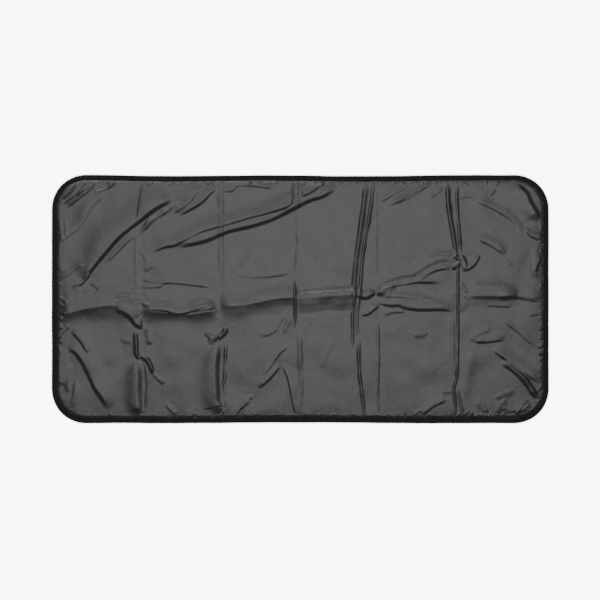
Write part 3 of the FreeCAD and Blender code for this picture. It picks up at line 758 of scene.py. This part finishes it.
def thread_material():
    """Black sewing thread, twisted."""
    m, t, bsdf = new_material("black_thread")
    twist = texture(t, "Wave", Scale=900.0, Distortion=0.4, bands_direction="DIAGONAL")
    colour_by(t, bsdf, twist, (0.2, (0.010, 0.010, 0.011)), (0.8, (0.030, 0.030, 0.032)))
    set_shader(bsdf, Roughness=0.5)
    bump_by(t, bsdf, (twist, 0.4, 0.0002))
    return m


NYLON, CANVAS, TAPE_CLOTH, THREAD = nylon_material(), canvas_material(), tape_material(), thread_material()


# --- Mesh helpers -------------------------------------------------------------------------------
dy, dx = np.gradient(H, gy, gx)
NORMALS = np.stack([-dx, -dy, np.ones_like(H)], -1)
NORMALS /= np.linalg.norm(NORMALS, axis=-1)[..., None]


def fabric_patch(x_span, y_span):
    """Vertices, faces and normals of the top fabric between two pairs of grid lines."""
    nudge = 1e-6
    i0, i1 = np.searchsorted(gx, [x_span[0] - nudge, x_span[1] - nudge])
    j0, j1 = np.searchsorted(gy, [y_span[0] - nudge, y_span[1] - nudge])
    i1, j1 = min(i1, len(gx) - 1), min(j1, len(gy) - 1)
    inside = EDGE[j0:j1 + 1, i0:i1 + 1] > FABRIC_EDGE
    quads = grid_quads(inside)
    part = (slice(j0, j1 + 1), slice(i0, i1 + 1))
    verts = np.stack([X[part][inside], Y[part][inside], H[part][inside]], -1)
    return verts, quads[(quads >= 0).all(1)], NORMALS[part][inside]


def under_sheet(xs, ys, hole=None):
    """Lower face of the cloth over the given grid lines, facing down, open where the hole is."""
    x, y = np.meshgrid(xs, ys)
    z = UNDER_Z + 0.35 * MM * np.sin(x / 0.019) * np.sin(y / 0.023)
    inside = edge_distance(x, y) > FABRIC_EDGE
    quads = grid_quads(inside)[:, [0, 3, 2, 1]]
    kept = (quads >= 0).all(1)
    if hole is not None:
        (x0, x1), (y0, y1) = hole
        mx, my = np.meshgrid((xs[:-1] + xs[1:]) / 2, (ys[:-1] + ys[1:]) / 2)
        kept &= ~((mx > x0) & (mx < x1) & (my > y0) & (my < y1)).ravel()
    verts = np.stack([x[inside], y[inside], z[inside]], -1)
    return verts, quads[kept], np.tile([0.0, 0.0, -1.0], (len(verts), 1))


def cloth_object(name, parts):
    """One object from several (verts, quads, normals, material number) parts."""
    verts, quads, normals, slots, base = [], [], [], [], 0
    for v, q, n, s in parts:
        verts.append(v)
        quads.append(q + base)
        normals.append(n)
        slots += [s] * len(q)
        base += len(v)
    verts, quads, normals = np.vstack(verts), np.vstack(quads), np.vstack(normals)
    obj = make_object(name, drawn_in(verts).tolist(), quads.tolist(), [NYLON, CANVAS], slots)
    obj.data.normals_split_custom_set_from_vertices(normals.tolist())
    return obj


def crease_cloth(name, x_span, y_span, steps):
    """Cloth over a crease: the back fabric, and the canvas below it, a few steps across."""
    under = under_sheet(np.linspace(*x_span, steps[0] + 1), np.linspace(*y_span, steps[1] + 1))
    return cloth_object(name, [(*fabric_patch(x_span, y_span), 0), (*under, 1)])


def joined(*parts):
    """Points, faces and material numbers of one mesh from several (points, faces, material) parts."""
    verts, faces, slots = [], [], []
    for v, f, slot in parts:
        faces += [tuple(int(i) + len(verts) for i in g) for g in f]
        slots += [slot] * len(f)
        verts += [tuple(p) for p in v]
    return verts, faces, slots


def ring_faces(count, n, base=0):
    """Faces between each of count closed rings of n points and the next."""
    faces = []
    for k in range(count - 1):
        for i in range(n):
            a, b = base + k * n + i, base + k * n + (i + 1) % n
            faces.append((a, b, b + n, a + n))
    return faces


def hook_to(obj, body, axis, middle, half):
    """Draws obj's points towards another body's motion, more and more along an axis."""
    along = np.array([v.co[axis] for v in obj.data.vertices])
    group = obj.vertex_groups.new(name=body)
    for n, weight in enumerate(smooth((along - middle + half) / (2 * half))):
        if weight > 0:
            group.add([n], float(weight), "REPLACE")
    hook = obj.modifiers.new(body, "HOOK")
    hook.vertex_group = body
    hook.object = bpy.data.objects[f"body:{body}"]


def bend_across(piece, row, n):
    """Bends a piece of the upper row with the two panels beside cross crease n. A piece of the lower row is
    not bent: its placement is baked into its points and it stays where it lies.
    """
    x = CREASES[n - 1]
    if row == "lower":
        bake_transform(piece)
    else:
        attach(piece, f"panel_upper_{n}")
        hook_to(piece, f"panel_upper_{n + 1}", 0, x, BAND_X)


def bend_along(piece):
    """Leaves a piece beside the long crease where it lies: its placement is baked into its points and it does
    not bend.
    """
    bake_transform(piece)


# --- Fabric pieces ------------------------------------------------------------------------------
def side_span(row):
    """Y of a row's panels, from the long crease's band to the edge."""
    return (-HALF_Y, -BAND_Y) if row == "lower" else (BAND_Y, HALF_Y)


def pad_span(column):
    """X of the stretch between the bands of a column's creases, or from there to the end."""
    left, right = crease_span(column)
    return left if column == 1 else left + BAND_X, right if column == COLUMNS else right - BAND_X


def rounded_ring(cx, cy, half_x, half_y, radius, count):
    """Points round a rounded rectangle, evenly by angle at the corners and by length between."""
    out = []
    corners = [(1, 1, 0), (-1, 1, 90), (-1, -1, 180), (1, -1, 270)]
    per_corner = 8
    per_side = count // 4 - per_corner
    for n, (sx, sy, start) in enumerate(corners):
        mx, my = cx + sx * (half_x - radius), cy + sy * (half_y - radius)
        for k in range(per_corner + 1):
            a = math.radians(start + 90 * k / per_corner)
            out.append((mx + radius * math.cos(a), my + radius * math.sin(a)))
        ex, ey, turn = corners[(n + 1) % 4]
        a = math.radians(turn)
        nx = cx + ex * (half_x - radius) + radius * math.cos(a)
        ny = cy + ey * (half_y - radius) + radius * math.sin(a)
        px, py = out[-1]
        for k in range(1, per_side):
            out.append((px + (nx - px) * k / per_side, py + (ny - py) * k / per_side))
    return np.array(out)


def clamp_to_outline(points, inset):
    """Draws points in until they lie inset from the rounded outline."""
    p = points.copy()
    for _ in range(30):
        step = np.clip(inset - edge_distance(p[:, 0], p[:, 1]), 0, None)
        if step.max() < 1e-5:
            break
        cx = np.clip(p[:, 0], -(HALF_X - CORNER), HALF_X - CORNER)
        cy = np.clip(p[:, 1], -(HALF_Y - CORNER), HALF_Y - CORNER)
        away = p - np.stack([cx, cy], 1)
        away /= np.maximum(np.linalg.norm(away, axis=1), 1e-9)[:, None]
        p -= away * step[:, None]
    return p


def run_along(points):
    """How far along a line each of its points lies."""
    return np.r_[0, np.cumsum(np.linalg.norm(np.diff(points, axis=0), axis=1))]


def resample(points, step, closed):
    """Points evenly spaced along a line, about step apart."""
    p = np.vstack([points, points[:1]]) if closed else points
    s = run_along(p)
    n = max(2, int(s[-1] / step))
    at = np.linspace(0, s[-1], n, endpoint=not closed)
    return np.column_stack([np.interp(at, s, p[:, k]) for k in range(p.shape[1])])


def stitches_along(points, height, closed=False, up=1, pitch=4.2 * MM, long=3.0 * MM):
    """Lock stitches as short threads that dive into the cloth at both ends."""
    line = resample(np.asarray(points)[:, :2], pitch, closed)
    ahead = np.roll(line, -1, axis=0) - line
    if not closed:
        ahead[-1] = ahead[-2]
    ahead /= np.linalg.norm(ahead, axis=1)[:, None]
    thick = 0.34 * MM
    rings, sides = 4, 5
    verts, faces = [], []
    for (x, y), (tx, ty) in zip(line, ahead):
        base = len(verts)
        for r in range(rings):
            u = r / (rings - 1) - 0.5
            at_end = abs(u) > 0.4
            drop = -0.30 * MM if at_end else 0.20 * MM
            size = thick * (0.6 if at_end else 1.0)
            mx, my = x + tx * u * long, y + ty * u * long
            for s in range(sides):
                a = 2 * math.pi * s / sides
                across, rise = math.cos(a) * size, math.sin(a) * size
                verts.append((mx - ty * across, my + tx * across, height + up * (drop + rise)))
        faces += ring_faces(rings, sides, base)
        faces.append(tuple(base + s for s in range(sides)))
        faces.append(tuple(base + (rings - 1) * sides + s for s in range(sides)))
    return verts, faces


def front_frame(row, column):
    """Canvas round the cells of one panel, on the cell side, with its turned-in window edge. The
    margin that holds the junction is a sheet of its own beside it."""
    cx, cy = panel_centre(row, column)
    win_x, win_y = LAMINATE_X / 2 - WINDOW_LAP, LAMINATE_Y / 2 - WINDOW_LAP
    x0, x1 = pad_span(column)
    y0, y1 = side_span(row)
    has_junction = (row, column) == ("lower", 1)
    if has_junction:
        x0 = MARGIN_SEAM

    def window(grow):
        return rounded_ring(cx, cy, win_x + grow, win_y + grow, WINDOW_CORNER + grow, WINDOW_POINTS)

    loops = []
    for grow, z in [(0.2, 0.75), (0.0, 0.45), (0.15, 0.15), (0.8, 0.02), (3.0, 0.0), (6.5, 0.03), (7.2, 0.0),
                    (8.0, 0.05), (FRAME_BORDER / MM, 0.25)]:
        r = window(grow * MM)
        loops.append(np.column_stack([r, np.full(len(r), z * MM)]))
    inner = loops[-1][:, :2]
    n = len(inner)
    outer = inner.copy()
    for i, (x, y) in enumerate(inner):
        ux, uy = x - cx, y - cy
        sx = ((x1 if ux > 0 else x0) - cx) / (win_x + FRAME_BORDER) * (1 if ux > 0 else -1)
        sy = ((y1 if uy > 0 else y0) - cy) / (win_y + FRAME_BORDER) * (1 if uy > 0 else -1)
        outer[i] = (cx + ux * sx, cy + uy * sy)
    outer[:, 0] = np.clip(outer[:, 0], x0, x1)
    outer[:, 1] = np.clip(outer[:, 1], y0, y1)
    ripple = np.random.default_rng(column * 7 + len(row)).normal(size=n)
    ripple = np.convolve(np.r_[ripple, ripple[:12]], np.hanning(13) / 4, "same")[:n]
    for t in (0.25, 0.5, 0.75, 1.0):
        p = clamp_to_outline(inner + (outer - inner) * t, FABRIC_EDGE)
        z = 0.25 * MM + 0.9 * MM * t + 0.25 * MM * ripple * math.sin(math.pi * t)
        loops.append(np.column_stack([p, z]))
    faces = [f[::-1] for f in ring_faces(len(loops), n)]
    parts = [(np.vstack(loops), faces, 0), (*stitches_along(window(WINDOW_SEAM), 0.0, closed=True, up=-1), 1)]
    if has_junction:
        xs = grid_lines([-HALF_X, *POCKET_HOLE[0], MARGIN_SEAM], 4 * MM)
        ys = grid_lines([-HALF_Y, *POCKET_HOLE[1], -BAND_Y], 6 * MM)
        parts.append((*under_sheet(xs, ys, POCKET_HOLE)[:2], 0))
    verts, faces, slots = joined(*parts)
    name = f"front_frame_{row}_{column}"
    return make_object(name, drawn_in(verts).tolist(), faces, [CANVAS, THREAD], slots)


def junction_pocket():
    """Canvas pocket over the junction and the channel of its leads: a roof, walls that stand close
    round the housing, and a rolled hem that is stitched to the margin."""
    cx, cy = (POCKET_LOW[0] + POCKET_HIGH[0]) / 2, (POCKET_LOW[1] + POCKET_HIGH[1]) / 2
    half_x, half_y = (POCKET_HIGH[0] - POCKET_LOW[0]) / 2, (POCKET_HIGH[1] - POCKET_LOW[1]) / 2

    def ring(grow):
        return rounded_ring(cx, cy, half_x + grow, half_y + grow, POCKET_CORNER + grow, POCKET_POINTS)

    section = [(-2.6, 6.35), (-2.58, 6.0), (-2.65, 3.5), (-2.6, 1.2), (-2.3, 0.5), (-1.6, 0.12), (-0.6, 0.02),
               (0.2, 0.06), (0.8, 0.22), (1.2, 0.6), (1.3, 1.3)]
    rings = [ring(grow * MM) for grow, _ in section]
    heights = [z * MM for _, z in section]
    roof = rings[0]
    for share in (0.66, 0.33):
        rings.insert(0, np.array([cx, cy]) + (roof - [cx, cy]) * share)
        heights.insert(0, section[0][1] * MM)
    n = len(roof)
    verts = [(cx, cy, heights[0])] + [(x, y, z) for points, z in zip(rings, heights) for x, y in points]
    faces = [(0, 1 + (i + 1) % n, 1 + i) for i in range(n)] + ring_faces(len(rings), n, base=1)
    stitches = stitches_along(ring(-0.7 * MM), 0.0, closed=True, up=-1, pitch=3.8 * MM, long=2.7 * MM)
    verts, faces, slots = joined((verts, faces, 0), (*stitches, 1))
    return make_object("junction_pocket_cloth", verts, faces, [CANVAS, THREAD], slots)


for row in ROWS:
    for column in range(1, COLUMNS + 1):
        body = f"panel_{row}_{column}"
        pad = cloth_object(f"fabric_{row}_{column}", [(*fabric_patch(pad_span(column), side_span(row)), 0)])
        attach(pad, body)
        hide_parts(f"cover_{row}_{column}")
        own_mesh(pad)
        front = front_frame(row, column)
        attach(front, body)

pocket = junction_pocket()
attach(pocket, "panel_lower_1")
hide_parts("junction_pocket")

for n, x in enumerate(CREASES, start=1):
    for row in ROWS:
        name = f"column_crease_{row}_{n}"
        band = crease_cloth(name, (x - BAND_X, x + BAND_X), side_span(row), (10, 80))
        bend_across(band, row, n)

for column in range(1, COLUMNS + 1):
    band = crease_cloth(f"row_crease_{column}", pad_span(column), ROW_BAND, (56, 12))
    bend_along(band)

# Where the long crease crosses a cross crease, the cloth first folds with its own two panels, and
# what results turns towards the next column.
for n, x in enumerate(CREASES, start=1):
    crossing = crease_cloth(f"crease_crossing_{n}", (x - BAND_X, x + BAND_X), ROW_BAND, (10, 12))
    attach(crossing, f"panel_lower_{n}")
    hook_to(crossing, f"panel_upper_{n}", 1, 0.0, BAND_Y)
    hook_to(crossing, f"panel_lower_{n + 1}", 0, x, BAND_X)


# --- Binding ------------------------------------------------------------------------------------
def outline_path(step):
    """Points round the outline at its edge, anticlockwise from the right end, with inward normals."""
    out = []
    ax, ay = HALF_X - CORNER, HALF_Y - CORNER
    n = max(8, int(CORNER * math.pi / 2 / step))
    for sx, sy, start in [(1, 1, 0), (-1, 1, 90), (-1, -1, 180), (1, -1, 270)]:
        for k in range(n + 1):
            a = math.radians(start + 90 * k / n)
            cos, sin = math.cos(a), math.sin(a)
            out.append((sx * ax + CORNER * cos, sy * ay + CORNER * sin, -cos, -sin))
        way = math.radians(start + 90)
        length = 2 * (ax if start in (0, 180) else ay)
        m = max(2, int(length / step))
        x, y, ix, iy = out[-1]
        for k in range(1, m):
            run = length * k / m
            out.append((x - math.sin(way) * run, y + math.cos(way) * run, ix, iy))
    return np.array(out)


# Across the folded tape, in millimetres: how far in from the edge and how high, from its upper
# inner edge round to the lower one.
TAPE_UPPER = [(19.3, 4.25), (20.0, 4.55), (20.0, 4.95), (19.5, 5.2), (18.0, 5.26), (16.2, 5.10), (15.4, 5.16),
              (11.0, 5.32), (6.0, 5.30), (3.0, 5.05), (1.2, 4.45), (0.25, 3.5), (0.0, 2.6)]
TAPE_LOWER = [(0.25, 1.7), (1.2, 0.8), (3.0, 0.22), (6.0, 0.05), (11.0, 0.02), (15.4, 0.08), (18.0, 0.05),
              (19.5, 0.1), (20.0, 0.35), (20.0, 0.7), (19.3, 1.0)]
TAPE_SEAM = 16.6 * MM
PROFILE = np.array(TAPE_UPPER + TAPE_LOWER) * MM
PROFILE_RUN = run_along(PROFILE)
PATH = outline_path(4 * MM)


def ring_noise(seed, width):
    """Smooth noise round the outline, of even strength, one value for each point."""
    r = np.random.default_rng(seed).normal(size=len(PATH))
    k = np.hanning(width)
    return np.convolve(np.r_[r[-width:], r, r[:width]], k / np.sqrt((k ** 2).sum()), "same")[width:-width]


def piece_of(x, y):
    """Which stretch of the edge a point belongs to: (kind, row, number)."""
    if abs(y) < BAND_Y:
        return ("end", None, 1 if x < 0 else COLUMNS)
    row = "upper" if y > 0 else "lower"
    for n, c in enumerate(CREASES, start=1):
        if abs(x - c) < BAND_X:
            return ("turn", row, n)
    return ("run", row, 1 + sum(x > c for c in CREASES))


def binding_rows():
    """Splits the path into stretches, with a point exactly at each change. A row of a stretch is its
    place, its inward normal, how far along it is, and how the tape's top and two edges waver."""
    waves = [ring_noise(61, 9), ring_noise(62, 13), ring_noise(63, 41)]
    pts = np.column_stack([PATH, run_along(PATH[:, :2]), *waves])
    last = pts[0].copy()
    last[4] = pts[-1, 4] + np.linalg.norm(PATH[0, :2] - PATH[-1, :2])
    pts = np.vstack([pts, last])
    cuts = [(0, c + s * BAND_X) for c in CREASES for s in (-1, 1)] + [(1, -BAND_Y), (1, BAND_Y)]
    full = []
    for p, q in zip(pts, pts[1:]):
        full.append(p)
        crossed = [(c - p[axis]) / (q[axis] - p[axis]) for axis, c in cuts
                   if (p[axis] - c) * (q[axis] - c) < 0]
        for t in sorted(crossed):
            full.append(p + (q - p) * t)
    full.append(pts[-1])
    stretches = []
    for p, q in zip(full, full[1:]):
        key = piece_of(*((p + q) / 2)[:2])
        if stretches and stretches[-1][0] == key:
            stretches[-1][1].append(q)
        else:
            stretches.append((key, [p, q]))
    if stretches[0][0] == stretches[-1][0]:
        key, rows = stretches.pop()
        lift = np.zeros(len(rows[0]))
        lift[4] = rows[-1][4]
        stretches[0] = (key, [r - lift for r in rows[:-1]] + stretches[0][1])
    return stretches


def tape_piece(name, rows):
    """A stretch of the folded tape with its two rows of stitches."""
    rows = np.array(rows)
    verts, uv = [], []
    for x, y, nx, ny, s, top, inner, outer in rows:
        for (d, z), run in zip(PROFILE, PROFILE_RUN):
            upper = smooth((z - 2.6 * MM) / (1.5 * MM))
            share = d / TAPE
            d2 = d + 0.45 * MM * inner * share + 0.25 * MM * outer * (1 - share)
            z2 = z + 0.16 * MM * top * upper * math.sin(math.pi * min(1, share * 1.1))
            verts.append((x + nx * d2, y + ny * d2, z2))
            uv.append((s, run))
    count = len(PROFILE)
    faces = [(a, a + 1, a + count + 1, a + count)
             for k in range(len(rows) - 1) for a in range(k * count, (k + 1) * count - 1)]
    line = rows[:, :2] + rows[:, 2:4] * (TAPE_SEAM + 0.45 * MM * rows[:, 6:7] * TAPE_SEAM / TAPE)
    parts = [(verts, faces, 0)]
    for z, up in ((5.14 * MM, 1), (0.06 * MM, -1)):
        parts.append((*stitches_along(line, z, up=up, pitch=4.6 * MM, long=3.3 * MM), 1))
    verts, faces, slots = joined(*parts)
    uv += [(0, 0)] * (len(verts) - len(uv))
    return make_object(name, drawn_in(verts).tolist(), faces, [TAPE_CLOTH, THREAD], slots, uv)


for (kind, row, number), rows in binding_rows():
    if kind == "end":
        piece = tape_piece(f"tape_end_{number}", rows)
        bend_along(piece)
    elif kind == "turn":
        piece = tape_piece(f"tape_crease_{row}_{number}", rows)
        bend_across(piece, row, number)
    else:
        piece = tape_piece(f"tape_{row}_{number}", rows)
        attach(piece, f"panel_{row}_{number}")
        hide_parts(f"binding_{row}_{number}")


# --- Cell side ----------------------------------------------------------------------------------
def repeated(tree, value, offset, step):
    """Where value, moved by offset, lies within its step."""
    return math_node(tree, "MODULO", plus(tree, value, offset), step)


def cell_lines(tree):
    """Distances within a cell, and from a panel's middle: (across, along, x, y)."""
    split = node(tree, "ShaderNodeSeparateXYZ")
    link(tree, place(tree), split.inputs[0])
    panel_x = math_node(tree, "SUBTRACT", repeated(tree, split.outputs[0], 10 * PITCH, PITCH), PITCH / 2)
    centre_y = abs(panel_centre("upper", 1)[1])
    panel_y = math_node(tree, "SUBTRACT", math_node(tree, "ABSOLUTE", split.outputs[1]), centre_y)
    across = repeated(tree, panel_x, 2 * CELL_STEP, CELL_STEP)
    along = repeated(tree, panel_y, 3.5 * CELL_STEP, CELL_STEP)
    return across, along, panel_x, panel_y


def stripes(tree, value, pitch, width, offset=0.0):
    """1 on thin lines spaced pitch apart, 0 between them."""
    off = math_node(tree, "SUBTRACT", repeated(tree, value, offset, pitch), pitch / 2)
    return math_node(tree, "LESS_THAN", math_node(tree, "ABSOLUTE", off), width / 2)


def ribbon_stripes(tree, across):
    return stripes(tree, across, RIBBON_PITCH, RIBBON_WIDTH, -1 * MM)


def film(tree, bsdf, rough, coat, coat_rough):
    """The clear film over the cells, with its fine dimples and slight waves."""
    set_shader(bsdf, Roughness=rough, Coat_Weight=coat, Coat_Roughness=coat_rough)
    dimples = texture(tree, "Voronoi", Scale=700.0)
    waves = texture(tree, "Noise", Scale=18.0, Detail=3.0)
    bump_by(tree, bsdf, (dimples, 0.12, 0.0003), (waves, 0.25, 0.0015))


def mix_colour(tree, factor, a, b):
    """Output a where the factor is 0 and colour b where it is 1."""
    n = node(tree, "ShaderNodeMix", data_type="RGBA")
    link(tree, factor, n.inputs[0])
    link(tree, a, n.inputs[6])
    n.inputs[7].default_value = (*b, 1)
    return n.outputs[2]


def cell_material():
    """Dark blue-black wafer with printed fingers and tinned ribbons, under clear film."""
    m, t, bsdf = new_material("silicon_cell")
    across, along, _, _ = cell_lines(t)
    tone = texture(t, "Noise", Scale=9.0, Detail=2.0)
    wafer = ramp(t, tone, [(0.3, (0.0040, 0.0060, 0.0170)), (0.7, (0.0060, 0.0090, 0.0260))])
    fingers = stripes(t, along, FINGER_PITCH, FINGER_WIDTH)
    printed = mix_colour(t, times(t, fingers, 0.5), wafer, (0.16, 0.17, 0.19))
    link(t, mix_colour(t, ribbon_stripes(t, across), printed, TINNED), bsdf.inputs["Base Color"])
    film(t, bsdf, 0.34, 0.7, 0.14)
    return m


def laminate_material():
    """Black back sheet under the same film, with the ribbons that cross from cell to cell."""
    m, t, bsdf = new_material("laminate_sheet")
    across, _, panel_x, panel_y = cell_lines(t)
    inside_x = math_node(t, "LESS_THAN", math_node(t, "ABSOLUTE", panel_x), 126 * MM)
    inside_y = math_node(t, "LESS_THAN", math_node(t, "ABSOLUTE", panel_y), 192.3 * MM)
    shown = times(t, times(t, ribbon_stripes(t, across), inside_x), inside_y)
    tone = texture(t, "Noise", Scale=14.0, Detail=4.0)
    sheet = ramp(t, tone, [(0.3, (0.0060, 0.0060, 0.0066)), (0.7, (0.0110, 0.0110, 0.0120))])
    link(t, mix_colour(t, shown, sheet, TINNED), bsdf.inputs["Base Color"])
    film(t, bsdf, 0.38, 0.6, 0.16)
    return m


def moulded_material(name, colour, rough):
    """Moulded black plastic with a fine spark-eroded grain."""
    m, t, bsdf = new_material(name)
    grain = texture(t, "Noise", Scale=900.0, Detail=3.0)
    tone = texture(t, "Noise", Scale=40.0, Detail=4.0)
    colour_by(t, bsdf, tone, (0.3, tuple(0.8 * c for c in colour)), (0.7, colour))
    link(t, ramp(t, grain, [(0.3, rough), (0.7, rough + 0.12)]), bsdf.inputs["Roughness"])
    bump_by(t, bsdf, (grain, 0.25, 0.0002))
    return m


def metal_material(name, colour, rough):
    """Brushed metal."""
    m, t, bsdf = new_material(name)
    brush = texture(t, "Noise", Scale=600.0, Detail=4.0)
    colour_by(t, bsdf, brush, (0.3, tuple(0.8 * c for c in colour)), (0.7, colour))
    link(t, ramp(t, brush, [(0.3, rough), (0.7, rough + 0.15)]), bsdf.inputs["Roughness"])
    set_shader(bsdf, Metallic=1.0)
    return m


def repaint(name, material):
    """Gives a CAD node a material in place of its own."""
    materials = frame["nodes"][name].data.materials
    materials.clear()
    materials.append(material)


CELL, SHEET = cell_material(), laminate_material()
for row in ROWS:
    for column in range(1, COLUMNS + 1):
        repaint(f"cells_{row}_{column}", CELL)
        repaint(f"laminate_{row}_{column}", SHEET)
repaint("junction_housing", moulded_material("housing_plastic", (0.016, 0.016, 0.017), 0.42))
repaint("junction_lid", moulded_material("lid_plastic", (0.022, 0.022, 0.023), 0.48))
repaint("blocking_diodes", moulded_material("diode_epoxy", (0.012, 0.012, 0.012), 0.3))
repaint("lid_screws", metal_material("screw_steel", (0.52, 0.52, 0.53), 0.3))
repaint("terminal_plates", metal_material("tinned_copper", (0.70, 0.52, 0.30), 0.32))


# --- Floor, light and camera --------------------------------------------------------------------
def make_floor():
    """A wide white floor that glows evenly, with a painted contact shadow where the blanket lies close."""
    half, z = 60, -0.6 * MM
    corners = [(-half, -half, z), (half, -half, z), (half, half, z), (-half, half, z)]
    m, t, bsdf = new_material("white_floor")
    set_shader(bsdf, Base_Color=(0.86, 0.86, 0.86, 1), Roughness=0.9, Specular_IOR_Level=0.1,
               Emission_Color=(1, 1, 1, 1))
    # Painted contact shadow: ambient occlusion dims the floor's glow where the blanket lies close.
    painted_contact_shadow = node(t, "ShaderNodeAmbientOcclusion", Distance=0.006, samples=4)
    glow = times(t, math_node(t, "POWER", painted_contact_shadow.outputs["AO"], 4), WHITE_GLOW)
    link(t, glow, bsdf.inputs["Emission Strength"])
    floor = make_object("floor", corners, [(0, 1, 2, 3)], [m])
    floor.visible_diffuse = False
    floor.visible_glossy = False


def area_light(name, at, aim, size, power):
    data = bpy.data.lights.new(name, "AREA")
    data.shape = "RECTANGLE"
    data.size, data.size_y = size
    data.energy = power
    lamp = bpy.data.objects.new(name, data)
    lamp.location = at
    lamp.rotation_euler = (Vector(aim) - Vector(at)).to_track_quat("-Z", "Y").to_euler()
    lamp.visible_camera = False
    bpy.context.scene.collection.objects.link(lamp)


def make_camera():
    """Looks straight down from a little beside the middle. The blanket fills most of the width."""
    high, fills, sensor = 8.0, 0.82833, 36
    data = bpy.data.cameras.new("camera")
    camera = bpy.data.objects.new("camera", data)
    data.sensor_width = sensor
    data.lens = sensor * (high - 5 * MM) * fills / (2 * HALF_X)
    data.clip_end = 100
    camera.location = (-1.1 * MM, -3.7 * MM, high)
    bpy.context.scene.collection.objects.link(camera)
    bpy.context.scene.camera = camera


def make_world():
    """Dim light, brightest a little above the horizon, behind which the camera sees plain white."""
    world = bpy.data.worlds.new("world")
    world.use_nodes = True
    t = world.node_tree
    background = t.nodes["Background"]
    background.inputs[0].default_value = (1, 1, 1, 1)
    seen = node(t, "ShaderNodeLightPath").outputs["Is Camera Ray"]
    height = node(t, "ShaderNodeSeparateXYZ")
    link(t, node(t, "ShaderNodeTexCoord").outputs["Generated"], height.inputs[0])
    stops = [(0.0, 0.6), (0.26, 0.75), (0.42, 0.75), (0.54, 0.26), (0.68, 0.05), (1.0, 0.05)]
    link(t, plus(t, times(t, seen, WHITE_GLOW), ramp(t, height.outputs[2], stops)), background.inputs[1])
    bpy.context.scene.world = world


make_floor()
make_world()
area_light("overhead", (0.0, 0.5, 9.0), (0, 0.1, 0), (5.9, 4.0), 152)
area_light("wide", (0.0, 1.2, 8.0), (0, 0.1, 0), (9.0, 6.6), 100)
area_light("key", (-1.6, 5.0, 7.0), (0, 0, 0), (5.0, 2.2), 190)
make_camera()
